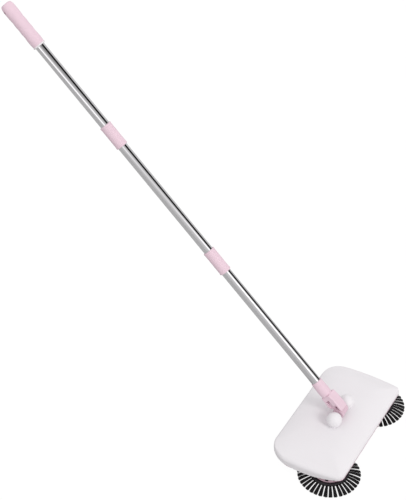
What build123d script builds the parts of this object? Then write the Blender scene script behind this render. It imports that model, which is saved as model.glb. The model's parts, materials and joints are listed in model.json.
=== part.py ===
from build123d import *
import os
from math import acos, atan2, cos, degrees, hypot, pi, radians, sin, sqrt, tan

# Carpet sweeper, millimetres. The floor is z = 0 and the origin lies under the middle of the
# head. The front of the head faces -Y, the handle leans back towards +Y, X runs left to right.

# ---------------------------------------------------------------- driving dimensions: the head
HALF_LENGTH = 159.5          # cover's rim, middle to end, at the corners
HALF_DEPTH = 90.0            # cover's rim, middle to front or back
END_BULGE = 9.0              # how far each end curves out past its corners
FRONT_CORNER = (17.0, 6.5)   # plan radius of the front corners, at the rim and at the shoulder
REAR_CORNER = (52.0, 40.0)   # the same for the rear corners
RIM_Z = 39.0                 # rim height along the front and the back
RIM_DIP = 13.0               # how much lower the rim is at the middle of each end
SHOULDER_IN = 6.4            # the rim's rounded shoulder, inwards and upwards
SHOULDER_UP = 10.6
FLAT_IN = 58.0               # inset of the flat middle of the cover
DECK_Z = 58.0                # height of that flat middle
SHELL_WALL = 2.2
FRAME_TOP = 38.5             # top of the chassis plate
FRAME_PLATE = 4.0            # its thickness
FRAME_UNDER = FRAME_TOP - FRAME_PLATE

# ---------------------------------------------------------------- driving dimensions: handle
PIVOT_Y = -10.0
PIVOT_Z = 73.0
LEAN = 46.0                  # degrees from vertical at rest
BALL_X = 32.0
BALL_R = 17.2
SWING_S = 26.0               # swing pin, distance up the handle from the tilt pin
TUBE_R = 11.0
TUBE_WALL = 0.6
SOCKET_TOP = 88.0
TUBE_START = 52.0
SOCKET_SCREW_S = 70.0
LOWER_COUPLER = (407.5, 467.5)
UPPER_COUPLER = (761.0, 819.0)
COUPLER_R = 13.8
GRIP_START = 1038.0
GRIP_END = 1147.0
GRIP_R = 14.6
HANG_HOLE_R = 4.0
HANG_HOLE_S = GRIP_END - 15.0
HANG_TURN = 27.0             # degrees, from -X round towards the back of the handle

# ---------------------------------------------------------------- driving dimensions: works
AXLE_Y = -43.5
AXLE_Z = 24.0
WHEEL_R = 24.0
WHEEL_X = (36.0, 48.0)
AXLE_R = 3.0
AXLE_END = 106.5
BRUSH_X = 121.0
BRUSH_R = 70.5
RING_R = 44.0
HUB_R = 37.0
FACE_MODULE = 1.25
PINION_TEETH = 14
FACE_TEETH = 28
TRAIN_MODULE = 1.0
AXLE_TEETH = 32
IDLER_TEETH = 24
ROLLER_TEETH = 16
TRAIN_X = (-62.5, -57.5)
ROLLER_Y = 4.0
ROLLER_Z = 19.5
ROLLER_R = 19.0
ROLLER_HALF = 52.0
TRAY_Y = (28.5, 88.4)
TRAY_HALF = 106.6
TRAY_Z = (6.4, 33.9)
LIP_HALF = 78.0
REAR_WHEEL = (126.0, 58.0, 11.0)  # x, y and radius
TUFTS = 38

PRESSURE_ANGLE = radians(20)
FIT = 0.05                   # radial clearance of every pin, bush and plug
TUFT_THICK = 2.2


def save(node, shape):
    """Write one sub-part; a list of solids becomes a group."""
    if isinstance(shape, list):
        shape = Compound(children=shape)
    shape.label = node
    export_step(shape, f"parts/{node}.step")


def block(x, y, z):
    """Box from its three (low, high) ranges."""
    size = [high - low for low, high in (x, y, z)]
    middle = [(high + low) / 2 for low, high in (x, y, z)]
    return Pos(*middle) * Box(*size)


def rod_x(radius, x, y, z):
    """Round bar along X between the two ends given in x."""
    low, high = x
    return Pos((low + high) / 2, y, z) * Rot(0, 90, 0) * Cylinder(radius, high - low)


def rod_z(radius, x, y, z):
    """Round bar along Z between the two ends given in z."""
    low, high = z
    return Pos(x, y, (low + high) / 2) * Cylinder(radius, high - low)


def mirror_x(shape):
    return mirror(shape, about=Plane.YZ)


def turned(profile, holes=()):
    """Solid of revolution about Z from (radius, height) points."""
    face = make_face(Polyline([(r, 0, z) for r, z in profile], close=True))
    body = revolve(face, Axis.Z)
    for hole in holes:
        body -= hole
    return body


# ---------------------------------------------------------------- cover and chassis outlines
def plan(inset, z, bulge, front_radius, rear_radius):
    """Rounded rectangle with curved ends, at one height, drawn in from the rim by inset."""
    x = HALF_LENGTH - inset
    y = HALF_DEPTH - inset
    front_left, front_right = (-x, -y), (x, -y)
    rear_right, rear_left = (x, y), (-x, y)
    edges = [Line(front_left, front_right),
             ThreePointArc(front_right, (x + bulge, 0), rear_right),
             Line(rear_right, rear_left),
             ThreePointArc(rear_left, (-x - bulge, 0), front_left)]
    face = make_face(edges)
    front = [v for v in face.vertices() if v.Y < 0]
    face = fillet(front, front_radius)
    rear = [v for v in face.vertices() if v.Y > 0 and abs(abs(v.X) - x) < 0.01]
    face = fillet(rear, rear_radius)
    return Pos(0, 0, z) * face


def cover_steps():
    """(inset, height) pairs up the cover: straight skirt, round shoulder, shallow dome."""
    steps = [(-0.4, RIM_Z - RIM_DIP - 3)]
    for n in range(6):
        turn = radians(14 * n)
        steps.append((SHOULDER_IN * (1 - cos(turn)), RIM_Z - 1 + SHOULDER_UP * sin(turn)))
    for n in range(8):
        inset = SHOULDER_IN + (FLAT_IN - SHOULDER_IN) * (n / 7) ** 1.3
        rise = (FLAT_IN - inset) / (FLAT_IN - SHOULDER_IN)
        steps.append((inset, DECK_Z - (DECK_Z - RIM_Z + 1 - SHOULDER_UP) * rise ** 2))
    return steps


def corner_radius(ends, inset):
    """Plan radius that eases from its rim value to its shoulder value within half the shoulder."""
    rim, top = ends
    return rim + (top - rim) * min(max(2 * inset / SHOULDER_IN, 0), 1)


def cover_solid(inward):
    """Pillow-shaped solid under the cover's skin, shrunk by inward on every side."""
    sections = []
    for inset, z in cover_steps():
        bulge = max(END_BULGE - inset, 1)
        radii = [max(corner_radius(ends, inset) - inward, 3) for ends in (FRONT_CORNER, REAR_CORNER)]
        sections.append(plan(inset + inward, z - inward, bulge, *radii))
    return loft(sections, ruled=True)


def rim_cut():
    """Everything below the rim, which arches down towards the middle of each end."""
    half = HALF_DEPTH + 4
    edge_z = RIM_Z + RIM_DIP * ((half / HALF_DEPTH) ** 2 - 1)
    side = make_face([ThreePointArc((-half, edge_z), (0, RIM_Z - RIM_DIP), (half, edge_z)),
                      Line((half, edge_z), (half, 0)),
                      Line((half, 0), (-half, 0)),
                      Line((-half, 0), (-half, edge_z))])
    return extrude(Plane.YZ * side, 2 * HALF_LENGTH, both=True)


SHELL_SCREWS = [(sx * x, y) for sx in (-1, 1) for x, y in ((64, -79), (143, 24), (90, 80))]
BOSS_SCREWS = [(sx * BALL_X, PIVOT_Y + dy) for sx in (-1, 1) for dy in (-6, 6)]


def top_shell():
    outside = cover_solid(0)
    shell = outside - cover_solid(SHELL_WALL) - rim_cut()
    for x, y in SHELL_SCREWS:
        shell += rod_z(4, x, y, (FRAME_TOP + 0.1, DECK_Z)) & outside
    for x, y in SHELL_SCREWS:
        shell -= rod_z(1.3, x, y, (FRAME_TOP - 1, FRAME_TOP + 7))
    for x, y in BOSS_SCREWS:
        shell -= rod_z(1.7, x, y, (DECK_Z - 5, DECK_Z + 1))
    return shell


def skirt():
    """Wall that closes the back half of the chassis, either side of the dust tray."""
    ring = plan(10, 0, END_BULGE - 2, 20, 44) - plan(12.2, 0, END_BULGE - 2, 18, 42)
    wall = Pos(0, 0, 12) * extrude(ring, FRAME_UNDER - 12 + 1)
    wall &= block((-200, 200), (33, 100), (0, FRAME_TOP))
    return wall - block((-TRAY_HALF - 2, TRAY_HALF + 2), (33, 100), (0, FRAME_UNDER))


def roller_hood():
    outer = rod_x(22.8, (-56.2, 56.2), ROLLER_Y, ROLLER_Z)
    hood = outer - rod_x(21, (-54.2, 54.2), ROLLER_Y, ROLLER_Z)
    hood &= block((-60, 60), (-40, 40), (ROLLER_Z, 60))
    hood += block((-56.2, 56.2), (ROLLER_Y - 22.8, ROLLER_Y - 21), (11, ROLLER_Z))
    hood -= block((-54.2, 54.2), (ROLLER_Y + 12, 40), (0, FRAME_UNDER))
    for low, high in ((-56.2, -54.2), (54.2, 56.2)):
        front = -32 if low < 0 else ROLLER_Y - 22.8
        hood += block((low, high), (front, ROLLER_Y + 20), (9, FRAME_UNDER))
    return hood


def idler_centre():
    """Where the idler meshes with the axle gear and the roller gear at once."""
    first = TRAIN_MODULE * (AXLE_TEETH + IDLER_TEETH) / 2
    second = TRAIN_MODULE * (IDLER_TEETH + ROLLER_TEETH) / 2
    dy, dz = ROLLER_Y - AXLE_Y, ROLLER_Z - AXLE_Z
    span = hypot(dy, dz)
    along = (first ** 2 - second ** 2 + span ** 2) / (2 * span)
    above = sqrt(first ** 2 - along ** 2)
    return (AXLE_Y + (along * dy - above * dz) / span, AXLE_Z + (along * dz + above * dy) / span)


IDLER_Y, IDLER_Z = idler_centre()
COVER_POSTS = [(-63.5, 33.0), (15.5, 33.0)]  # y, z of the two posts that hold the gear cover


def chassis():
    front, rear = FRONT_CORNER[0], REAR_CORNER[0]
    flush = plan(0.4, FRAME_UNDER, END_BULGE, front, rear)
    inner = SHELL_WALL + 0.4
    inside = plan(inner, FRAME_UNDER, END_BULGE, front - inner, rear - inner)
    frame = extrude(flush, FRAME_PLATE) & (Pos(0, 0, -0.4) * rim_cut())
    frame += extrude(inside, FRAME_PLATE)
    for sx in (-1, 1):
        frame -= block(sorted((sx * 34, sx * 50)), (AXLE_Y - 26.5, AXLE_Y + 26), (30, 60))
    frame -= rod_x(21, (-54.2, 54.2), ROLLER_Y, ROLLER_Z)
    frame += roller_hood() + skirt()
    # front wall between the side brushes, with the dirt inlet under it
    frame += block((-52, 52), (-78, -76), (16, FRAME_UNDER + 1))
    for sx in (-1, 1):
        x = sorted((sx * 85, sx * 91))
        frame += block(x, (AXLE_Y - 7, AXLE_Y + 7), (18, FRAME_UNDER + 1))
        frame -= rod_x(5 + FIT, (x[0] - 1, x[1] + 1), AXLE_Y, AXLE_Z)
        frame += rod_z(8, sx * BRUSH_X, AXLE_Y, (17.5, FRAME_UNDER + 1))
        frame -= rod_z(3 + FIT, sx * BRUSH_X, AXLE_Y, (15, FRAME_TOP - 2))
        # tunnel wall and runner of the dust tray
        tunnel = sorted((sx * (TRAY_HALF + 0.8), sx * (TRAY_HALF + 2.8)))
        runner = sorted((sx * (TRAY_HALF - 5), sx * (TRAY_HALF + 2.8)))
        frame += block(tunnel, (TRAY_Y[0], 86), (4, FRAME_UNDER + 1))
        frame += block(runner, (TRAY_Y[0] + 1, 86), (4, 5.9))
        # cheeks of the rear wheels
        for low, high in ((-6.5, -5), (5, 6.5)):
            cheek = sorted((sx * (REAR_WHEEL[0] + low), sx * (REAR_WHEEL[0] + high)))
            frame += block(cheek, (REAR_WHEEL[1] - 6, REAR_WHEEL[1] + 6), (6.5, FRAME_UNDER + 1))
        pin_x = sorted((sx * (REAR_WHEEL[0] - 8), sx * (REAR_WHEEL[0] + 8)))
        frame -= rod_x(2 + FIT, pin_x, REAR_WHEEL[1], REAR_WHEEL[2])
    # well and cover posts of the gear train, the roller's bush seats and the idler pin's hole
    frame -= block((-66.4, -56.2), (-61.5, -3), (30, 60))
    for y, z in COVER_POSTS:
        frame += rod_x(2.8, (-64.5, -54.5), y, z - 2.6) + block((-64.5, -54.5), (y - 2, y + 2),
                                                                (z - 2.6, FRAME_UNDER + 1))
        frame -= rod_x(1.1, (-65, -57), y, z - 2.6)
    for x in ((-57, -54), (54, 57)):
        frame -= rod_x(4.5 + FIT, x, ROLLER_Y, ROLLER_Z)
    frame -= rod_x(2 + FIT, (-57, -53), IDLER_Y, IDLER_Z)
    for x, y in SHELL_SCREWS:
        frame -= rod_z(1.7, x, y, (FRAME_UNDER - 1, FRAME_TOP + 1))
    return frame


# ---------------------------------------------------------------- hinge
def hinge_boss():
    """Right-hand ball: a sphere on a short neck, bored for the tilt pin."""
    ball = Pos(BALL_X, PIVOT_Y, PIVOT_Z) * Sphere(BALL_R)
    neck = rod_z(10.5, BALL_X, PIVOT_Y, (DECK_Z - 4, PIVOT_Z - 4))
    boss = (ball + neck) & block((0, 60), (-60, 40), (DECK_Z + 0.02, 100))
    boss -= rod_x(3 + FIT, (0, BALL_X - 3), PIVOT_Y, PIVOT_Z)
    for x, y in BOSS_SCREWS:
        if x > 0:
            boss -= rod_z(1.3, x, y, (DECK_Z - 1, DECK_Z + 8.5))
    return boss


def screw(head_r, head_h, shank_r, length):
    """Pan-head screw, head down, shank up from z = 0, with a cross slot."""
    body = Pos(0, 0, -head_h / 2) * Cylinder(head_r, head_h) + rod_z(shank_r, 0, 0, (-0.2, length))
    for angle in (0, 90):
        body -= Rot(0, 0, angle) * Pos(0, 0, -head_h) * Box(head_r * 1.2, 0.7, 1.2)
    return body


HANDLE = Location(Plane(origin=(0, PIVOT_Y, PIVOT_Z), x_dir=(1, 0, 0),
                        z_dir=(0, sin(radians(LEAN)), cos(radians(LEAN)))))


def tilt_block():
    """Barrel round the tilt pin with a round-ended tongue; z runs up the handle."""
    barrel = rod_x(12.5, (-14.3, 14.3), 0, 0)
    tongue = block((-10.5, 10.5), (-4, 4), (0, SWING_S))
    tongue += Pos(0, 0, SWING_S) * Rot(90, 0, 0) * Cylinder(10.5, 8)
    body = barrel + tongue
    body -= rod_x(3 + FIT, (-20, 20), 0, 0)
    return body - Pos(0, 0, SWING_S) * Rot(90, 0, 0) * Cylinder(2.5 + FIT, 20)


def fork_socket():
    """Fork with two arms in front of and behind the tongue, and the tube's socket above."""
    front, rear = -16.5, 10
    side = make_face(Polyline([(front, SWING_S), (front, SWING_S + 3), (-13, 49), (rear, 49),
                               (rear, SWING_S)], close=True))
    arms = extrude(Plane.YZ * side, 13, both=True)
    arms = fillet(arms.edges().filter_by(Axis.Z), 2)
    arms += Pos(0, (rear - 13) / 2, SWING_S) * Rot(90, 0, 0) * Cylinder(13, rear + 13)
    # apron of the front arm, down in front of the barrel
    apron = block((-13, 13), (front, -12.9), (3, SWING_S + 2))
    apron = fillet(apron.edges().filter_by(Axis.Y).group_by(Axis.Z)[0], 4)
    outline = apron.faces().sort_by(Axis.Y)[0].edges().sort_by(Axis.Z)[:-1]
    arms += fillet(outline, 2)
    cone = turned([(0, 40), (10.4, 40), (13.2, 53), (13.6, 60), (12.6, SOCKET_TOP - 1),
                   (12.1, SOCKET_TOP), (0, SOCKET_TOP)])
    body = arms + cone
    body -= block((-20, 20), (-4.4, 4.4), (0, SWING_S + 12.2))
    # the pin's hole, open at the back only
    body -= Pos(0, 1.6, SWING_S) * Rot(90, 0, 0) * Cylinder(2.5 + FIT, 20.4)
    body -= rod_z(TUBE_R + FIT, 0, 0, (TUBE_START - 0.1, SOCKET_TOP + 1))
    return body - Pos(0, 12, SOCKET_SCREW_S) * Rot(90, 0, 0) * Cylinder(1.3, 8)


def socket_screw():
    return Pos(0, 13.35, SOCKET_SCREW_S) * Rot(90, 0, 0) * screw(2.6, 1.6, 1.25, 5.2)


def tube(low, high, hole=None):
    body = rod_z(TUBE_R, 0, 0, (low, high)) - rod_z(TUBE_R - TUBE_WALL, 0, 0, (low - 1, high + 1))
    if hole:
        body -= Pos(0, TUBE_R, hole) * Rot(90, 0, 0) * Cylinder(1.35, 5)
    return body


def coupler(low, high):
    """Sleeve over two tube ends, with a web in the middle and a threaded stud below it."""
    middle = (low + high) / 2
    r, soft = COUPLER_R, 1.2
    body = turned([(0, low), (r - soft, low), (r, low + soft), (r, low + 4), (r - 0.5, low + 4.6),
                   (r - 0.5, high - 4.6), (r, high - 4), (r, high - soft), (r - soft, high),
                   (0, high)])
    body -= rod_z(TUBE_R + FIT, 0, 0, (low - 1, middle - 2))
    body -= rod_z(TUBE_R + FIT, 0, 0, (middle + 2, high + 1))
    stud = rod_z(6, 0, 0, (middle - 22, middle - 1))
    for turn in range(7):
        groove = middle - 19 + 2.4 * turn
        stud -= rod_z(7, 0, 0, (groove, groove + 1)) - rod_z(5.2, 0, 0, (groove, groove + 1))
    return body + stud


def coupler_nut(low, high):
    """Plug in the lower tube's top end that takes the stud."""
    middle = (low + high) / 2
    plug = rod_z(TUBE_R - TUBE_WALL - FIT, 0, 0, (middle - 26, middle - 2.1))
    return plug - rod_z(6 + FIT, 0, 0, (middle - 23, middle))


def grip():
    """Hand grip: a round-ended handle with three shallow finger waves and a hanging hole."""
    low, high, r = GRIP_START + 0.1, GRIP_END, GRIP_R
    wave_low, wave_high = low + 22, high - 34
    pitch = (wave_high - wave_low) / 3
    side = [(r - 0.8, low), (r - 0.3, low + 6), (r - 0.3, wave_low)]
    for n in range(3):
        side += [(r - 0.7, wave_low + (n + 0.5) * pitch), (r - 0.2, wave_low + (n + 1) * pitch)]
    side += [(r, high - 17), (r - 0.7, high - 7), (r * 0.82, high - 2), (0, high)]
    profile = Spline([(x, 0, z) for x, z in side],
                     tangents=[(0, 0, 1), (-1, 0, 0)])
    face = make_face([profile, Line((0, 0, high), (0, 0, low)),
                      Line((0, 0, low), (side[0][0], 0, low))])
    body = revolve(face, Axis.Z)
    body -= rod_z(TUBE_R + FIT, 0, 0, (low - 1, HANG_HOLE_S - 12))
    hole = Pos(0, 0, HANG_HOLE_S) * Rot(0, 0, -HANG_TURN) * Rot(0, 90, 0)
    return body - hole * Cylinder(HANG_HOLE_R, 60)


def grip_collar():
    low, high = GRIP_START - 3.5, GRIP_START
    ring = turned([(0, low), (TUBE_R + 2.2, low), (GRIP_R, low + 1.2), (GRIP_R, high - 0.5),
                   (GRIP_R - 0.5, high), (0, high)])
    return ring - rod_z(TUBE_R + FIT, 0, 0, (low - 1, high + 1))


# ---------------------------------------------------------------- gears
def involute(angle):
    return tan(angle) - angle


def gear_face(teeth, module, thinning):
    """Spur gear outline in XY with a tooth on +X; thinning is taken off each tooth's width."""
    pitch_r = module * teeth / 2
    base_r = pitch_r * cos(PRESSURE_ANGLE)
    tip_r = pitch_r + module
    root_r = pitch_r - 1.25 * module
    half = pi / (2 * teeth) - thinning / (2 * pitch_r) + involute(PRESSURE_ANGLE)
    start = max(base_r, root_r)
    flank = []
    for n in range(5):
        r = start + (tip_r - start) * n / 4
        flank.append((r, half - involute(acos(min(base_r / r, 1)))))
    tooth = [(root_r, flank[0][1])] + flank if root_r < start else flank
    points = []
    for n in range(teeth):
        middle = 2 * pi * n / teeth
        for r, a in tooth:
            points.append((r * cos(middle - a), r * sin(middle - a)))
        for r, a in reversed(tooth):
            points.append((r * cos(middle + a), r * sin(middle + a)))
    return make_face(Polyline(points, close=True))


def gear_x(teeth, module, thinning, x, y, z, tooth_angle, bore):
    """Spur gear on an X axis; tooth_angle turns its first tooth from +Y towards +Z."""
    face = gear_face(teeth, module, thinning) - Circle(bore)
    wheel = Rot(0, 0, degrees(tooth_angle)) * extrude(face, x[1] - x[0])
    # local X, Y, Z become the row's Y, Z, X
    return Pos(x[0], y, z) * Location(Plane(origin=(0, 0, 0), x_dir=(0, 1, 0),
                                            z_dir=(1, 0, 0))) * wheel


def mating_angle(teeth_a, angle_a, toward_b, teeth_b):
    """Tooth angle of gear b so that it meshes with gear a, whose centre line runs toward_b."""
    pitch_a = 2 * pi / teeth_a
    offset = (angle_a - toward_b + pitch_a / 2) % pitch_a - pitch_a / 2
    gap = toward_b + pi - offset * teeth_a / teeth_b
    return gap + pi / teeth_b


THIN = 0.11
TO_IDLER = atan2(IDLER_Z - AXLE_Z, IDLER_Y - AXLE_Y)
TO_ROLLER = atan2(ROLLER_Z - IDLER_Z, ROLLER_Y - IDLER_Y)
IDLER_ANGLE = mating_angle(AXLE_TEETH, TO_IDLER, TO_IDLER, IDLER_TEETH)
ROLLER_ANGLE = mating_angle(IDLER_TEETH, IDLER_ANGLE, TO_ROLLER, ROLLER_TEETH)

PINION_PITCH_R = FACE_MODULE * PINION_TEETH / 2
FACE_PITCH_R = FACE_MODULE * FACE_TEETH / 2
PINION_X = (BRUSH_X - FACE_PITCH_R - 2.3, BRUSH_X - FACE_PITCH_R + 1.5)
FACE_PITCH_Z = AXLE_Z - PINION_PITCH_R
FACE_ROOT_Z = FACE_PITCH_Z - 1.15 * FACE_MODULE


def pinion():
    """Right-hand pinion, one tooth straight down."""
    return gear_x(PINION_TEETH, FACE_MODULE, 0.2, PINION_X, AXLE_Y, AXLE_Z, -pi / 2, AXLE_R + FIT)


# ---------------------------------------------------------------- side brush
def face_teeth():
    """Ring of straight-sided teeth round the hub, with a gap towards -X."""
    inner, outer = FACE_PITCH_R - 1.1, FACE_PITCH_R + 2.5
    root = FACE_PITCH_Z - FACE_ROOT_Z
    tip = 0.9 * FACE_MODULE
    width = 1.4
    slope = tan(PRESSURE_ANGLE)
    low, high = width / 2 + root * slope, width / 2 - tip * slope
    profile = make_face(Polyline([(-low, -0.3), (low, -0.3), (low, 0), (high, root + tip),
                                  (-high, root + tip), (-low, 0)], close=True))
    tooth = Location(Plane(origin=(inner, 0, FACE_ROOT_Z), x_dir=(0, 1, 0),
                           z_dir=(1, 0, 0))) * extrude(profile, outer - inner)
    step = 360 / FACE_TEETH
    return [Rot(0, 0, step * (n + 0.5) + 180) * tooth for n in range(FACE_TEETH)]


def side_hub():
    """Slotted hub with a bored sleeve and the face gear, centred on the Z axis."""
    disc = rod_z(HUB_R, 0, 0, (FACE_ROOT_Z - 3.2, FACE_ROOT_Z))
    for n in range(12):
        slot = block((24.5, 34.5), (-3.6, 3.6), (0, 30))
        disc -= Rot(0, 0, 30 * n + 15) * fillet(slot.edges().filter_by(Axis.Z), 2)
    disc += rod_z(8, 0, 0, (7.6, 17))
    for tooth in face_teeth():
        disc += tooth
    return disc - rod_z(3 + FIT, 0, 0, (0, 30))


def tuft_ring():
    """Black dish under and round the hub that the tufts are planted in."""
    sleeve, seat = 8 + FIT, FACE_ROOT_Z - 3.2 - FIT
    return turned([(sleeve, 8.4), (RING_R - 4, 8.4), (RING_R - 1, 7.6), (RING_R, 8.6),
                   (RING_R, 12.2), (RING_R - 2.5, 14), (HUB_R + FIT, 14), (HUB_R + FIT, seat),
                   (sleeve, seat)])


def tuft():
    """One fanned tuft, from the ring out and down to just above the floor."""
    start, tip = RING_R + FIT, BRUSH_R
    drop = radians(18.5)
    length = (tip - start) / cos(drop)
    flat = make_face(Polyline([(0, -2.4), (length, -4.8), (length, 4.8), (0, 2.4)], close=True))
    body = Pos(0, 0, -TUFT_THICK / 2) * extrude(flat, TUFT_THICK)
    tip_drop = (length * sin(drop)) + TUFT_THICK / 2 * cos(drop)
    body = Pos(start, 0, tip_drop + 0.5) * Rot(0, degrees(drop), 0) * body
    return body & rod_z(BRUSH_R, 0, 0, (0, 30)) - rod_z(start, 0, 0, (-1, 31))


def bristles(x):
    one = tuft()
    return [Pos(x, AXLE_Y, 0) * Rot(0, 0, 360 / TUFTS * n) * one for n in range(TUFTS)]


def spindle():
    """Shoulder screw that the side brush turns on, head down."""
    shank = rod_z(3, 0, 0, (6, FRAME_TOP - 2.5))
    head = turned([(0, 4.6), (5.2, 4.6), (6, 5.4), (6, 7.2), (0, 7.2)])
    return head + shank - Pos(0, 0, 4.6) * Box(7, 0.9, 1.6)


# ---------------------------------------------------------------- wheels and roller
def wheel_hub():
    """Right-hand drive wheel hub between x = 36 and 48."""
    low, high = WHEEL_X
    rim = rod_x(20, (low, high), 0, 0) - rod_x(17, (low - 1, high + 1), 0, 0)
    web = rod_x(17.5, (low + 4, high - 4), 0, 0)
    for n in range(6):
        web -= Rot(60 * n, 0, 0) * rod_x(3.4, (low, high), 11, 0)
    core = rod_x(6, (low, high), 0, 0)
    return rim + web + core - rod_x(AXLE_R + FIT, (low - 1, high + 1), 0, 0)


def wheel_tyre():
    """Rubber tyre with cross grooves."""
    low, high = WHEEL_X
    tyre = rod_x(WHEEL_R, (low, high), 0, 0) - rod_x(20 + FIT, (low - 1, high + 1), 0, 0)
    rims = tyre.edges().filter_by(GeomType.CIRCLE)
    tyre = fillet([e for e in rims if e.radius > 23], 1.2)
    for n in range(24):
        tyre -= Rot(15 * n + 7.5, 0, 0) * block((low - 1, high + 1), (-0.7, 0.7), (23, 25))
    return tyre


def rear_wheel():
    x, y, r = REAR_WHEEL
    tread = rod_x(r, (x - 4.5, x + 4.5), y, r)
    tread = chamfer(tread.edges().filter_by(GeomType.CIRCLE), 0.8)
    for low, high in ((x - 5, x - 3), (x + 3, x + 5)):
        tread -= rod_x(8, (low, high), y, r) - rod_x(4, (low, high), y, r)
    return tread - rod_x(2 + FIT, (x - 6, x + 6), y, r)


def roller_tufts():
    """Tufts planted in the roller's core along five spirals."""
    tufts = []
    rows, along = 5, 14
    for row in range(rows):
        for n in range(along):
            x = -ROLLER_HALF + 4 + n * (2 * ROLLER_HALF - 8) / (along - 1)
            turn = 360 / rows * row + 100 * n / (along - 1)
            stalk = Pos(0, 0, (7.6 + ROLLER_R) / 2) * Cone(1.5, 2.3, ROLLER_R - 7.6)
            tufts.append(Pos(x, ROLLER_Y, ROLLER_Z) * Rot(turn, 0, 0) * stalk)
    return tufts


def bush(x, y, z, outer, bore):
    return rod_x(outer, x, y, z) - rod_x(bore + FIT, (x[0] - 1, x[1] + 1), y, z)


# ---------------------------------------------------------------- dust tray
def dust_tray():
    """Open-fronted, open-topped bin with a finger pull at the back."""
    outer = block((-TRAY_HALF, TRAY_HALF), TRAY_Y, TRAY_Z)
    outer = fillet(outer.edges().filter_by(Axis.Z).group_by(Axis.Y)[-1], 4)
    bin_space = block((-TRAY_HALF + 1.8, TRAY_HALF - 1.8), (0, TRAY_Y[1] - 2.4),
                      (TRAY_Z[0] + 1.8, 60))
    tray = outer - bin_space
    recess = block((-26, 26), (TRAY_Y[1] - 12, TRAY_Y[1] + 1), (0, 16))
    cup = block((-28, 28), (TRAY_Y[1] - 14, TRAY_Y[1]), (TRAY_Z[0], 17.8))
    return tray + cup - recess


def tray_lip():
    """Rubber ramp along the tray's front edge that the roller sweeps dirt up."""
    side = make_face(Polyline([(19, 1.4), (28.4, 6.3), (33, 6.3), (33, 4.6), (28.8, 4.6),
                               (20.6, 0.9)], close=True))
    return extrude(Plane.YZ * side, LIP_HALF, both=True)


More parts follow.
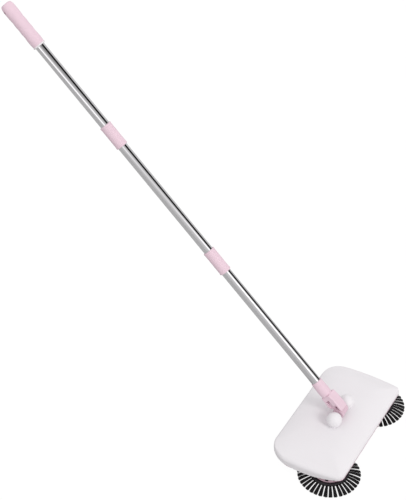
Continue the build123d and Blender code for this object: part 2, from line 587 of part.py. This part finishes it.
def main():
    os.makedirs("parts", exist_ok=True)
    save("top_shell", top_shell())
    save("chassis", chassis())
    right_boss = hinge_boss()
    save("hinge_boss_right", right_boss)
    save("hinge_boss_left", mirror_x(right_boss))
    save("boss_screws", [Pos(x, y, DECK_Z - SHELL_WALL - 0.05) * screw(2.8, 1.8, 1.25, 9.5)
                         for x, y in BOSS_SCREWS])
    save("shell_screws", [Pos(x, y, FRAME_UNDER - 0.05) * screw(2.8, 1.8, 1.25, 9.5)
                          for x, y in SHELL_SCREWS])
    save("tilt_pin", rod_x(3, (-BALL_X + 3.5, BALL_X - 3.5), PIVOT_Y, PIVOT_Z))
    save("tilt_block", HANDLE * tilt_block())

    save("fork_socket", HANDLE * fork_socket())
    save("swing_pin", HANDLE * (Pos(0, 0, SWING_S) * Rot(90, 0, 0) * Cylinder(2.5, 17)))
    save("socket_screw", HANDLE * socket_screw())
    lower_mid, upper_mid = sum(LOWER_COUPLER) / 2, sum(UPPER_COUPLER) / 2
    save("lower_tube", HANDLE * tube(TUBE_START, lower_mid - 2.1, hole=SOCKET_SCREW_S))
    save("middle_tube", HANDLE * tube(lower_mid + 2.1, upper_mid - 2.1))
    save("upper_tube", HANDLE * tube(upper_mid + 2.1, HANG_HOLE_S - 12.1))
    save("lower_coupler", HANDLE * coupler(*LOWER_COUPLER))
    save("upper_coupler", HANDLE * coupler(*UPPER_COUPLER))
    save("lower_coupler_nut", HANDLE * coupler_nut(*LOWER_COUPLER))
    save("upper_coupler_nut", HANDLE * coupler_nut(*UPPER_COUPLER))
    save("grip", HANDLE * grip())
    save("grip_collar", HANDLE * grip_collar())

    save("drive_axle", rod_x(AXLE_R, (-AXLE_END, AXLE_END), AXLE_Y, AXLE_Z))
    hub = Pos(0, AXLE_Y, AXLE_Z) * wheel_hub()
    tyre = Pos(0, AXLE_Y, AXLE_Z) * wheel_tyre()
    axle_bush = bush((84.5, 91.5), AXLE_Y, AXLE_Z, 5, AXLE_R)
    roller_bush = bush((54.2, 56.2), ROLLER_Y, ROLLER_Z, 4.5, 2.5)
    x, y, r = REAR_WHEEL
    rear_pin = rod_x(2, (x - 7.5, x + 7.5), y, r)
    for node, shape in (("wheel_hub", hub), ("wheel_tyre", tyre), ("pinion", pinion()),
                        ("axle_bush", axle_bush), ("roller_bush", roller_bush),
                        ("rear_wheel", rear_wheel()), ("rear_wheel_pin", rear_pin)):
        save(f"{node}_right", shape)
        save(f"{node}_left", mirror_x(shape))

    save("axle_gear", gear_x(AXLE_TEETH, TRAIN_MODULE, THIN, TRAIN_X, AXLE_Y, AXLE_Z, TO_IDLER,
                             AXLE_R + FIT))
    save("idler_gear", gear_x(IDLER_TEETH, TRAIN_MODULE, THIN, TRAIN_X, IDLER_Y, IDLER_Z,
                              IDLER_ANGLE, 2 + FIT))
    save("roller_gear", gear_x(ROLLER_TEETH, TRAIN_MODULE, THIN, TRAIN_X, ROLLER_Y, ROLLER_Z,
                               ROLLER_ANGLE, 2.5 + FIT))
    save("idler_pin", rod_x(2, (-64.3, -54.4), IDLER_Y, IDLER_Z))
    cover = block((-66.2, -64.6), (-67, 19), (9.5, FRAME_UNDER - 0.1))
    cover = fillet(cover.edges().filter_by(Axis.X), 3)
    cover -= rod_x(4, (-70, -60), AXLE_Y, AXLE_Z)
    for y, z in COVER_POSTS:
        cover -= rod_x(1.4, (-70, -60), y, z - 2.6)
    save("gear_cover", cover)
    save("gear_cover_screws", [Pos(-66.25, y, z - 2.6) * Rot(0, 90, 0) * screw(2.2, 1.4, 1.05, 7)
                               for y, z in COVER_POSTS])
    save("roller_shaft", rod_x(2.5, (-63.4, 57.5), ROLLER_Y, ROLLER_Z))
    save("roller_core", bush((-ROLLER_HALF, ROLLER_HALF), ROLLER_Y, ROLLER_Z, 7.5, 2.5))
    save("roller_bristles", roller_tufts())

    right_hub = Pos(BRUSH_X, AXLE_Y, 0) * side_hub()
    save("side_brush_hub_right", right_hub)
    save("side_brush_hub_left", mirror_x(right_hub))
    for side, x in (("left", -BRUSH_X), ("right", BRUSH_X)):
        save(f"tuft_ring_{side}", Pos(x, AXLE_Y, 0) * tuft_ring())
        save(f"bristles_{side}", bristles(x))
        save(f"spindle_{side}", Pos(x, AXLE_Y, 0) * spindle())

    save("dust_tray", dust_tray())
    save("tray_lip", tray_lip())


main()
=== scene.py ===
import json
import random
from math import atan2, cos, pi, radians, sin, sqrt

import bpy
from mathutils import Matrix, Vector


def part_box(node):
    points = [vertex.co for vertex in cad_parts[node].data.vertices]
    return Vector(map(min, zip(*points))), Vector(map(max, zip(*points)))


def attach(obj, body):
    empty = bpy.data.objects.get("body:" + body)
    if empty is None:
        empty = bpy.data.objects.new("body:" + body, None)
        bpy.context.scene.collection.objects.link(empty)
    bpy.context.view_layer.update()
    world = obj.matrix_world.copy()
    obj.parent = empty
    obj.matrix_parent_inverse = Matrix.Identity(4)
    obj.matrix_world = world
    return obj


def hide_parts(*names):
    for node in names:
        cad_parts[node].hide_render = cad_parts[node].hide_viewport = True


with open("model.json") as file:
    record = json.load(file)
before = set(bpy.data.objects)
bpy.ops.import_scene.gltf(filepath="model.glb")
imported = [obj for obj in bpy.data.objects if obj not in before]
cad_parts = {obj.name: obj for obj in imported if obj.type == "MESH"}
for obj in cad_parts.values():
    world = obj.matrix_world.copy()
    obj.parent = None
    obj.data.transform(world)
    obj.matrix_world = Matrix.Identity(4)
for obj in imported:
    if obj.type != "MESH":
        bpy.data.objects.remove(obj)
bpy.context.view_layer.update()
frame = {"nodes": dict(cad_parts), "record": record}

# Looks of the carpet sweeper, in metres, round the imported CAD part. The floor is z = 0, the front
# of the head faces -Y and the handle leans back towards +Y.
NODES = frame["nodes"]
MM = 0.001

# ---------------------------------------------------------------- driving dimensions
LEAN = radians(46)            # handle from vertical at rest

HALF_LENGTH = 159.5 * MM      # the cover's rim, as in the CAD
HALF_DEPTH = 90 * MM
END_BULGE = 9 * MM            # how far each end curves out past its corners
FRONT_CORNER = (17 * MM, 6.5 * MM)   # plan radius: at the rim, and from half the shoulder on
REAR_CORNER = (52 * MM, 40 * MM)
RIM_Z = 39 * MM
RIM_DIP = 13 * MM             # how much lower the rim is at the middle of each end
SKIRT_TOP = RIM_Z - MM        # the straight skirt ends here and the shoulder begins
ARCH_TOP = RIM_Z + 4 * MM     # the rim's arch has died away here
SHOULDER_IN = 6.4 * MM
SHOULDER_UP = 10.6 * MM
SHOULDER_END = radians(77.6)  # where the shoulder's slope meets the dome's
FLAT_IN = 58 * MM             # inset of the flat middle
SHELL_WALL = 2.2 * MM
RIM_ROUND = 0.5 * MM          # rounding of the rim's edges

PLANTED = 0.8 * MM            # how deep the filaments' roots go into their ring or core

TUFTS = 38                    # side brush: tufts, then filaments across and through each one
TUFT_COLUMNS = 9
TUFT_LAYERS = 3
TUFT_ROOT = 4.2 * MM          # width of a tuft where it is planted
TUFT_FAN = (0.70, 0.76)       # width at its tip, least and most, in tuft pitches
TUFT_ROUND = 1.2 * MM         # how much shorter a tuft is at its sides than in its middle
ROOT_STEP = 0.7 * MM          # from one layer to the next, at the roots and at the tips
TIP_STEP = 0.5 * MM
ROOT_DROP = 1.2 * MM          # middle layer's roots, below the top of the CAD tufts
TIP_LIFT = 0.9 * MM           # lowest layer's tips, above the foot of the CAD tufts
FILAMENT_ARCH = 1.1 * MM      # how far a filament arches up between its root and its tip
FILAMENT_R = 0.5 * MM

ROLLER_ROWS = 5               # roller: spiral rows, tufts along each, and filaments in a tuft
ROLLER_ALONG = 14
ROLLER_FILAMENTS = 22
ROLLER_TWIST = radians(100)
ROLLER_MARGIN = 4 * MM        # from each end of the core to the nearest tuft's middle
ROLLER_ROOT_SPREAD = 1.2 * MM  # radius of a tuft, at its roots and at its tips
ROLLER_TIP_SPREAD = 3.0 * MM
ROLLER_FILAMENT_R = 0.28 * MM

ALONG = Vector((0, sin(LEAN), cos(LEAN)))        # up the handle
FACING = Vector((0, -cos(LEAN), sin(LEAN)))      # out of the handle's upper front side


# ---------------------------------------------------------------- camera
VIEW_AZIMUTH = radians(-60.81)
VIEW_ELEVATION = radians(38.56)
VIEW_TARGET = Vector((-0.116, 0.275, 0.5))
VIEW_DISTANCE = 3.0
VIEW_LENS = 104.85            # in mm, for the sensor below
VIEW_SENSOR = 36              # in mm, along the picture's long side


def add_camera():
    """Camera that looks at the target from the photo's side, with no depth of field."""
    back = Vector((sin(VIEW_AZIMUTH) * cos(VIEW_ELEVATION),
                   -cos(VIEW_AZIMUTH) * cos(VIEW_ELEVATION), sin(VIEW_ELEVATION)))
    data = bpy.data.cameras.new("camera")
    data.sensor_width = VIEW_SENSOR
    data.lens = VIEW_LENS
    data.clip_start, data.clip_end = 0.05, 100
    camera = bpy.data.objects.new("camera", data)
    camera.location = VIEW_TARGET + back * VIEW_DISTANCE
    camera.rotation_mode = "QUATERNION"
    camera.rotation_quaternion = (-back).to_track_quat("-Z", "Y")
    bpy.context.scene.collection.objects.link(camera)
    bpy.context.scene.camera = camera


add_camera()


# ---------------------------------------------------------------- node trees
class Graph:
    """Short-hand for building a node tree."""

    def __init__(self, owner):
        owner.use_nodes = True
        self.tree = owner.node_tree
        self.tree.nodes.clear()

    def node(self, kind, inputs=None, **settings):
        """New shader node. An input is either another node's output or a plain value."""
        made = self.tree.nodes.new("ShaderNode" + kind)
        for name, value in settings.items():
            setattr(made, name, value)
        for name, value in (inputs or {}).items():
            socket = made.inputs[name]
            if isinstance(value, bpy.types.NodeSocket):
                self.tree.links.new(value, socket)
            else:
                socket.default_value = value
        return made

    def math(self, operation, *values, clamp=False):
        inputs = dict(enumerate(values))
        return self.node("Math", inputs, operation=operation, use_clamp=clamp).outputs[0]

    def vector(self, operation, *values):
        made = self.node("VectorMath", dict(enumerate(values)), operation=operation)
        return made.outputs["Value" if operation == "DOT_PRODUCT" else "Vector"]

    def ramp(self, factor, stops):
        """Colour ramp through (place, colour) stops."""
        made = self.node("ValToRGB", {"Fac": factor})
        elements = made.color_ramp.elements
        while len(elements) < len(stops):
            elements.new(0.5)
        for element, (place, colour) in zip(elements, stops):
            element.position = place
            element.color = grey(colour)
        return made.outputs["Color"]

    def between(self, factor, low, high, out_low=0.0, out_high=1.0):
        """Maps low..high to out_low..out_high, and holds the end values beyond."""
        made = self.node("MapRange", {"Value": factor, "From Min": low, "From Max": high,
                                      "To Min": out_low, "To Max": out_high})
        return made.outputs["Result"]


def grey(colour):
    """RGBA from one number or from three."""
    if isinstance(colour, (int, float)):
        colour = (colour,) * 3
    return (*colour, 1.0)


# ---------------------------------------------------------------- studio
KEY_POWER = 0.95
KEY_SPREAD = radians(17)
KEY_FROM = Vector((-0.25, -0.77, 0.59))
FILL = 0.83                   # strength of the even diffuse light
FLOOR_HALF = 9.0


def add_world():
    """Soft studio round the sweeper. Reflections see a pale sweep with one black strip and one
    bright panel along the handle, so that the tube shows them as long bands. Directions are
    measured round the handle, as turn, and along it, as part[2]. Diffuse light is an even fill,
    and the camera sees plain white."""
    world = bpy.data.worlds.new("studio")
    bpy.context.scene.world = world
    g = Graph(world)
    side = Vector((1, 0, 0))
    toward = (-0.7 * side + 0.715 * FACING).normalized()
    across = (0.715 * side + 0.7 * FACING).normalized()
    aim = g.node("TexCoord").outputs["Generated"]
    part = [g.vector("DOT_PRODUCT", aim, tuple(axis)) for axis in (toward, across, ALONG)]
    turn = g.math("ARCTAN2", part[1], part[0])
    # the strip slides round the handle towards its lower end
    slide = g.between(part[2], -0.08, -0.27, 0.0, 0.38)
    base = g.ramp(g.between(g.math("SUBTRACT", turn, slide), -pi, pi), [
        (0.0, 0.60), (0.12, 0.42), (0.24, 0.48), (0.31, 0.56), (0.42, 0.64), (0.50, 0.78),
        (0.56, 0.74), (0.624, 0.48), (0.634, 0.008), (0.746, 0.008), (0.757, 0.64),
        (0.85, 0.74), (1.0, 0.60)])
    # dimmer between strip and panel towards the handle's upper end
    near_top = g.between(part[2], -0.06, 0.03, 0.0, 0.60)
    inner = g.ramp(g.between(turn, -pi, pi), [(0.48, 0.0), (0.53, 1.0), (0.68, 1.0), (0.73, 0.0)])
    base = g.math("MULTIPLY", base, g.math("SUBTRACT", 1.0, g.math("MULTIPLY", near_top, inner)))
    # the panel turns round the handle's upper half, runs straight along the lower half, and
    # fades between the two
    swing = g.math("MULTIPLY_ADD", part[2], -6.4, -0.50)
    panel_middle = g.math("MINIMUM", swing, 0.56)
    panel = g.math("ABSOLUTE", g.math("SUBTRACT", turn, panel_middle))
    panel = g.node("MapRange", {"Value": panel, "From Min": 0.03, "From Max": 0.32,
                                "To Min": 1.3, "To Max": 0.0},
                   interpolation_type="SMOOTHSTEP").outputs["Result"]
    panel_power = g.ramp(g.between(part[2], 0.05, -0.30), [
        (0.0, 0.75), (0.27, 0.62), (0.38, 0.15), (0.48, 0.10), (0.60, 0.70), (0.72, 1.0)])
    strength = g.math("MULTIPLY_ADD", panel, panel_power, base)
    ray = g.node("LightPath").outputs
    studio = g.node("Background", {"Color": (1.0, 0.985, 0.995, 1), "Strength": strength})
    fill = g.node("Background", {"Color": (1.0, 0.99, 1.0, 1), "Strength": FILL})
    plain = g.node("Background", {"Color": (1, 1, 1, 1), "Strength": 1.0})
    lit = g.node("MixShader", {0: ray["Is Diffuse Ray"], 1: studio.outputs[0],
                               2: fill.outputs[0]})
    mixed = g.node("MixShader", {0: ray["Is Camera Ray"], 1: lit.outputs[0],
                                 2: plain.outputs[0]})
    g.node("OutputWorld", {"Surface": mixed.outputs[0]})


def add_sun():
    """Soft key light from the front left. It casts shadows but shows in no reflection."""
    data = bpy.data.lights.new("key", "SUN")
    data.energy = KEY_POWER
    data.angle = KEY_SPREAD
    data.color = (1.0, 0.985, 0.97)
    key = bpy.data.objects.new("key", data)
    key.rotation_mode = "QUATERNION"
    key.rotation_quaternion = KEY_FROM.to_track_quat("Z", "Y")
    key.visible_glossy = False
    bpy.context.scene.collection.objects.link(key)


def add_floor():
    """Floor in two coats: the one that the camera sees glows paper white, and the one that the
    sweeper sees is light grey."""
    coats = (("floor", 0.04, 0.97, -0.4 * MM), ("floor_bounce", 0.52, 0.0, -0.8 * MM))
    for name, colour, glow, z in coats:
        mesh = bpy.data.meshes.new(name)
        r = FLOOR_HALF
        mesh.from_pydata([(-r, -r, z), (r, -r, z), (r, r, z), (-r, r, z)], [], [(0, 1, 2, 3)])
        floor = bpy.data.objects.new(name, mesh)
        bpy.context.scene.collection.objects.link(floor)
        material = bpy.data.materials.new(name)
        g = Graph(material)
        coords = g.node("TexCoord").outputs["Object"]
        mottle = g.node("TexNoise", {"Vector": coords, "Scale": 3.0, "Detail": 3.0}).outputs["Fac"]
        tone = g.ramp(mottle, [(0.3, colour * 0.98), (0.7, colour)])
        shader = g.node("BsdfPrincipled", {"Base Color": tone, "Roughness": 0.9,
                                           "Emission Color": (1, 1, 1, 1),
                                           "Emission Strength": glow})
        g.node("OutputMaterial", {"Surface": shader.outputs[0]})
        mesh.materials.append(material)
        seen = name == "floor"
        floor.visible_camera = seen
        floor.visible_diffuse = floor.visible_glossy = not seen
        floor.visible_transmission = floor.visible_shadow = not seen


add_world()
add_sun()
add_floor()
bpy.context.scene.view_settings.view_transform = "Standard"


# ---------------------------------------------------------------- materials
def finish_material(material, g, shader):
    """Ends a material's tree with its output."""
    g.node("OutputMaterial", {"Surface": shader.outputs[0]})
    return material


def plastic(name, colour, rough=0.36, relief=0.05, mottle=0.03, soft=0.5):
    """Moulded plastic: faint flow mottling, fine mould grain, softened edges, paler in patches
    there as painted edge highlight and rub marks.
    Soft is the edge radius in millimetres."""
    material = bpy.data.materials.new(name)
    g = Graph(material)
    coords = g.node("TexCoord").outputs["Object"]
    flow = g.node("TexNoise", {"Vector": coords, "Scale": 14.0, "Detail": 4.0,
                               "Distortion": 0.6}).outputs["Fac"]
    tone = g.ramp(flow, [(0.3, [c * (1 - mottle) for c in colour]),
                         (0.7, [min(c * (1 + mottle * 0.5), 1) for c in colour])])
    rounded = g.node("Bevel", {"Radius": soft * MM}, samples=4).outputs["Normal"]
    flat = g.node("NewGeometry").outputs["Normal"]
    # edges, where the bevelled normal turns from the true one, get a paler colour in scuff patches:
    # painted edge highlight, as well as rub marks
    edge_highlight_and_wear = g.between(g.vector("DOT_PRODUCT", rounded, flat), 0.995, 0.80)
    scuffs = g.node("TexNoise", {"Vector": coords, "Scale": 260.0, "Detail": 3.0}).outputs["Fac"]
    edge_highlight_and_wear = g.math("MULTIPLY", edge_highlight_and_wear, g.between(scuffs, 0.40, 0.62), clamp=True)
    # edge colour lifted towards white: painted edge highlight and rub marks
    highlit_and_rubbed = [c + (1 - c) * 0.22 for c in colour]
    tone = g.node("Mix", {"Factor": edge_highlight_and_wear, "A": tone, "B": grey(highlit_and_rubbed)},
                  data_type="RGBA")
    grain = g.node("TexNoise", {"Vector": coords, "Scale": 2600.0, "Detail": 2.0}).outputs["Fac"]
    bumped = g.node("Bump", {"Height": grain, "Strength": relief, "Distance": 0.05 * MM,
                             "Normal": rounded}).outputs["Normal"]
    gloss = g.math("ADD", g.between(scuffs, 0.3, 0.7, rough - 0.04, rough + 0.05),
                   g.math("MULTIPLY", edge_highlight_and_wear, 0.10))
    shader = g.node("BsdfPrincipled", {"Base Color": tone.outputs["Result"], "Roughness": gloss,
                                       "Normal": bumped})
    return finish_material(material, g, shader)


def metal(name, colour, rough, drawn_along_handle=False, streak=0.06):
    """Metal with a fine grain, drawn out into long lines on the handle's tubes."""
    material = bpy.data.materials.new(name)
    g = Graph(material)
    coords = g.node("TexCoord").outputs["Object"]
    if drawn_along_handle:
        turned = g.node("VectorRotate", {"Vector": coords, "Axis": (1, 0, 0), "Angle": LEAN})
        coords = g.vector("MULTIPLY", turned.outputs["Vector"], (1, 1, 0.012))
    drawn = g.node("TexNoise", {"Vector": coords, "Scale": 2400.0, "Detail": 3.0}).outputs["Fac"]
    cloud = g.node("TexNoise", {"Vector": g.node("TexCoord").outputs["Object"], "Scale": 30.0,
                                "Detail": 3.0}).outputs["Fac"]
    tone = g.ramp(g.math("MULTIPLY_ADD", drawn, 0.6, g.math("MULTIPLY", cloud, 0.4)),
                  [(0.3, [c * (1 - streak) for c in colour]), (0.7, colour)])
    gloss = g.between(drawn, 0.3, 0.7, rough * 0.8, rough * 1.3)
    bumped = g.node("Bump", {"Height": drawn, "Strength": 0.08, "Distance": 0.02 * MM})
    shader = g.node("BsdfPrincipled", {"Base Color": tone, "Metallic": 1.0, "Roughness": gloss,
                                       "Normal": bumped.outputs["Normal"]})
    return finish_material(material, g, shader)


def rubber(name, colour):
    """Soft rubber: dusty patches and a fine matt grain."""
    material = bpy.data.materials.new(name)
    g = Graph(material)
    coords = g.node("TexCoord").outputs["Object"]
    dust = g.node("TexNoise", {"Vector": coords, "Scale": 60.0, "Detail": 5.0}).outputs["Fac"]
    tone = g.ramp(dust, [(0.35, colour), (0.75, [c * 1.7 + 0.01 for c in colour])])
    grain = g.node("TexNoise", {"Vector": coords, "Scale": 1500.0, "Detail": 3.0}).outputs["Fac"]
    bumped = g.node("Bump", {"Height": grain, "Strength": 0.25, "Distance": 0.08 * MM})
    shader = g.node("BsdfPrincipled", {"Base Color": tone,
                                       "Roughness": g.between(dust, 0.3, 0.7, 0.72, 0.84),
                                       "Normal": bumped.outputs["Normal"],
                                       "Specular IOR Level": 0.35})
    return finish_material(material, g, shader)


def nylon(name, colour):
    """Extruded bristle: near black, with a low satin gloss that varies from one to the next."""
    material = bpy.data.materials.new(name)
    g = Graph(material)
    coords = g.node("TexCoord").outputs["Object"]
    strand = g.node("TexNoise", {"Vector": coords, "Scale": 700.0, "Detail": 1.0}).outputs["Fac"]
    tone = g.ramp(strand, [(0.35, colour), (0.70, [c * 2.2 for c in colour])])
    fine = g.node("TexNoise", {"Vector": coords, "Scale": 4000.0, "Detail": 1.0}).outputs["Fac"]
    bumped = g.node("Bump", {"Height": fine, "Strength": 0.2, "Distance": 0.03 * MM})
    shader = g.node("BsdfPrincipled", {"Base Color": tone,
                                       "Roughness": g.between(strand, 0.3, 0.7, 0.42, 0.58),
                                       "Normal": bumped.outputs["Normal"],
                                       "Specular IOR Level": 0.35})
    return finish_material(material, g, shader)


SLOT_MATERIALS = {
    "white_plastic": plastic("white_plastic", (0.855, 0.835, 0.855), rough=0.40, mottle=0.008,
                             relief=0.03, soft=0.8),
    "pink_plastic": plastic("pink_plastic", (0.83, 0.63, 0.715), rough=0.38, mottle=0.02),
    "deep_pink_plastic": plastic("deep_pink_plastic", (0.74, 0.535, 0.62), rough=0.42, mottle=0.03),
    "pale_plastic": plastic("pale_plastic", (0.88, 0.84, 0.86), rough=0.42),
    "grey_plastic": plastic("grey_plastic", (0.50, 0.49, 0.51), rough=0.45, relief=0.10),
    "gear_plastic": plastic("gear_plastic", (0.80, 0.78, 0.72), rough=0.40, soft=0.15),
    "black_plastic": plastic("black_plastic", (0.018, 0.015, 0.018), rough=0.44, relief=0.08),
    "polished_tube": metal("polished_tube", (0.80, 0.80, 0.81), 0.05, drawn_along_handle=True),
    "steel": metal("steel", (0.62, 0.62, 0.63), 0.24),
    "brass": metal("brass", (0.70, 0.53, 0.30), 0.36, streak=0.2),
    "black_bristle": nylon("black_bristle", (0.008, 0.007, 0.008)),
    "tyre_rubber": rubber("tyre_rubber", (0.030, 0.030, 0.032)),
    "lip_rubber": rubber("lip_rubber", (0.085, 0.085, 0.09)),
}


# every CAD node gets the material of its slot
for row in frame["record"]["subparts"]:
    mesh = NODES[row["node"]].data
    mesh.materials.clear()
    mesh.materials.append(SLOT_MATERIALS[row["material_slot"]])


# ---------------------------------------------------------------- mesh helpers
def new_piece(name, verts, faces, slot_name, body):
    """Smooth-shaded piece that rides a body."""
    mesh = bpy.data.meshes.new(name)
    mesh.from_pydata([tuple(v) for v in verts], [], faces)
    mesh.validate()
    mesh.update()
    mesh.materials.append(SLOT_MATERIALS[slot_name])
    mesh.polygons.foreach_set("use_smooth", [True] * len(mesh.polygons))
    piece = bpy.data.objects.new(name, mesh)
    bpy.context.scene.collection.objects.link(piece)
    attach(piece, body)
    return piece


def arc(centre, radius, start, end, count):
    """Points on a plan arc, without its last one."""
    steps = [start + (end - start) * n / count for n in range(count)]
    return [(centre[0] + radius * cos(a), centre[1] + radius * sin(a)) for a in steps]


def corner_radius(ends, inset):
    """Plan radius that goes from its rim value to its top value within half the shoulder."""
    rim, top = ends
    return rim + (top - rim) * min(2 * inset / SHOULDER_IN, 1)


def cover_loop(inset):
    """Plan outline of the cover at one inset: straight sides, bulging ends, round corners."""
    x, y = HALF_LENGTH - inset, HALF_DEPTH - inset
    bulge = max(END_BULGE - inset, MM)
    front, rear = corner_radius(FRONT_CORNER, inset), corner_radius(REAR_CORNER, inset)
    end_radius = (y * y + bulge * bulge) / (2 * bulge)
    end_centre = x + bulge - end_radius
    corners = []
    for radius, side in ((front, -1), (rear, 1)):
        reach = y - radius
        cx = end_centre + sqrt((end_radius - radius) ** 2 - reach ** 2)
        corners.append((cx, side * reach, radius, atan2(side * reach, cx - end_centre)))
    (fx, fy, fr, f_turn), (rx, ry, rr, r_turn) = corners
    line, front_arc, end_arc, rear_arc = 18, 14, 30, 18
    right = [(fx * n / line, -y) for n in range(line)]
    right += arc((fx, fy), fr, -pi / 2, f_turn, front_arc)
    right += arc((end_centre, 0), end_radius, f_turn, r_turn, end_arc)
    right += arc((rx, ry), rr, r_turn, pi / 2, rear_arc)
    right += [(rx * (1 - n / line), y) for n in range(line)] + [(0, y)]
    left = [(-px, py) for px, py in reversed(right[1:-1])]
    return right + left


def rim_height(y):
    """Height of the rim, which arches down at each end of the head."""
    return RIM_Z - RIM_DIP * (1 - (y / HALF_DEPTH) ** 2)


def cover_levels(deck):
    """(inset, height) pairs: straight skirt, rounded shoulder, shallow dome up to the deck."""
    skirt, shoulder, dome = 5, 16, 18
    low = RIM_Z - RIM_DIP
    levels = [(0, low + (SKIRT_TOP - low) * n / skirt) for n in range(skirt)]
    for n in range(shoulder + 1):
        turn = SHOULDER_END * n / shoulder
        levels.append((SHOULDER_IN * (1 - cos(turn)), SKIRT_TOP + SHOULDER_UP * sin(turn)))
    first, edge_z = levels[-1]
    for n in range(1, dome + 1):
        inset = first + (FLAT_IN - first) * n / dome
        rise = (FLAT_IN - inset) / (FLAT_IN - first)
        levels.append((inset, deck - (deck - edge_z) * rise ** 2))
    return levels


def add_cover():
    """The cover as one smooth skin with its real wall. Its lowest band is squeezed up to the
    rim's arch, and every loop above that lies level."""
    low = RIM_Z - RIM_DIP
    loops = []
    for inset, z in cover_levels(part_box("top_shell")[1].z):
        loop = []
        for px, py in cover_loop(inset):
            rim = rim_height(min(abs(py), HALF_DEPTH))
            squeezed = rim + (z - low) * (ARCH_TOP - rim) / (ARCH_TOP - low)
            loop.append((px, py, squeezed if z < ARCH_TOP else z))
        loops.append(loop)
    count = len(loops[0])
    verts = [p for loop in loops for p in loop]
    faces = []
    for k in range(len(loops) - 1):
        for n in range(count):
            m = (n + 1) % count
            faces.append((k * count + n, k * count + m, (k + 1) * count + m, (k + 1) * count + n))
    faces.append(tuple((len(loops) - 1) * count + n for n in range(count)))
    cover = new_piece("cover_skin", verts, faces, "white_plastic", "head")
    wall = cover.modifiers.new("wall", "SOLIDIFY")
    wall.thickness, wall.offset = SHELL_WALL, -1
    lip = cover.modifiers.new("lip", "BEVEL")
    lip.width, lip.segments = RIM_ROUND, 3
    lip.limit_method, lip.angle_limit = "ANGLE", radians(50)
    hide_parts("top_shell")


def tube_mesh(paths, radius_of, sides):
    """Verts and faces of many thin closed strands; each path is a list of points."""
    verts, faces = [], []
    for path in paths:
        first = len(verts)
        rings = len(path)
        axis = (path[-1] - path[0]).normalized()
        a = axis.orthogonal().normalized()
        b = axis.cross(a)
        for k, point in enumerate(path):
            r = radius_of(k / (rings - 1))
            for n in range(sides):
                turn = 2 * pi * n / sides
                verts.append(point + (a * cos(turn) + b * sin(turn)) * r)
        for k in range(rings - 1):
            for n in range(sides):
                m = (n + 1) % sides
                i, j = first + k * sides, first + (k + 1) * sides
                faces.append((i + n, i + m, j + m, j + n))
        faces.append(tuple(first + n for n in reversed(range(sides))))
        faces.append(tuple(first + (rings - 1) * sides + n for n in range(sides)))
    return verts, faces


def add_side_bristles(side, seed):
    """Fanned tufts of nylon filaments, each planted in the ring and splayed at its tip."""
    random.seed(seed)
    low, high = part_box(f"bristles_{side}")
    ring_low, ring_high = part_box(f"tuft_ring_{side}")
    centre = (ring_low + ring_high) / 2
    hub = Vector((centre.x, centre.y, 0))
    brush_r = (high.x - low.x) / 2
    root_r = (ring_high.x - ring_low.x) / 2 - PLANTED
    pitch = 2 * pi * brush_r / TUFTS
    bends = [n / 5 for n in range(6)]
    paths = []
    for n in range(TUFTS):
        turn = 2 * pi * (n + random.uniform(-0.04, 0.04)) / TUFTS
        out = Vector((cos(turn), sin(turn), 0))
        lateral = Vector((-sin(turn), cos(turn), 0))
        fan = random.uniform(*TUFT_FAN) * pitch
        lean = random.uniform(-0.4, 0.4) * MM
        for layer in range(TUFT_LAYERS):
            for k in range(TUFT_COLUMNS):
                share = (k + 0.5 * (layer % 2)) / (TUFT_COLUMNS - 0.5) - 0.5
                tip_r = brush_r - random.uniform(0.3, 1.5) * MM - TUFT_ROUND * (2 * share) ** 2
                rise = (TUFT_LAYERS - 1 - layer) * TIP_STEP + random.uniform(0, 0.35) * MM
                stray = random.uniform(-0.1, 0.1) * MM
                root = out * root_r + lateral * share * TUFT_ROOT
                root.z = high.z - ROOT_DROP + ((TUFT_LAYERS - 1) / 2 - layer) * ROOT_STEP
                tip = out * tip_r + lateral * (share * fan + lean + stray)
                tip.z = low.z + TIP_LIFT + rise
                path = []
                for t in bends:
                    point = root.lerp(tip, t)
                    point.z += FILAMENT_ARCH * sin(pi * t)
                    path.append(hub + point)
                paths.append(path)
    verts, faces = tube_mesh(paths, lambda t: FILAMENT_R * (1 - 0.25 * t), sides=5)
    piece = new_piece(f"side_bristles_{side}", verts, faces, "black_bristle", f"side_brush_{side}")
    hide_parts(f"bristles_{side}")


def add_roller_bristles():
    """Round tufts in spiral rows along the roller's core."""
    random.seed(5)
    low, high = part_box("roller_bristles")
    core_low, core_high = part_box("roller_core")
    middle = (core_low + core_high) / 2
    root_r = (core_high.z - core_low.z) / 2 - PLANTED
    tip_r = (high.z - low.z) / 2
    half = (core_high.x - core_low.x) / 2 - ROLLER_MARGIN
    paths = []
    for row in range(ROLLER_ROWS):
        for n in range(ROLLER_ALONG):
            share = n / (ROLLER_ALONG - 1)
            turn = 2 * pi * row / ROLLER_ROWS + ROLLER_TWIST * share
            out = Vector((0, -sin(turn), cos(turn)))
            lateral = Vector((0, cos(turn), sin(turn)))
            spot = Vector((middle.x - half + 2 * half * share, middle.y, middle.z))
            for _ in range(ROLLER_FILAMENTS):
                angle, spread = random.uniform(0, 2 * pi), sqrt(random.random())
                drift = Vector((1, 0, 0)) * cos(angle) * spread + lateral * sin(angle) * spread
                root = spot + out * root_r + drift * ROLLER_ROOT_SPREAD
                reach = tip_r - random.uniform(0.1, 1.2) * MM
                tip = spot + out * reach + drift * ROLLER_TIP_SPREAD
                bow = lateral * random.uniform(-0.3, 0.3) * MM
                paths.append([root, root.lerp(tip, 0.5) + bow, tip])
    verts, faces = tube_mesh(paths, lambda t: ROLLER_FILAMENT_R * (1 - 0.2 * t), sides=4)
    piece = new_piece("roller_filaments", verts, faces, "black_bristle", "roller")
    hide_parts("roller_bristles")


add_cover()
add_side_bristles("left", 11)
add_side_bristles("right", 12)
add_roller_bristles()
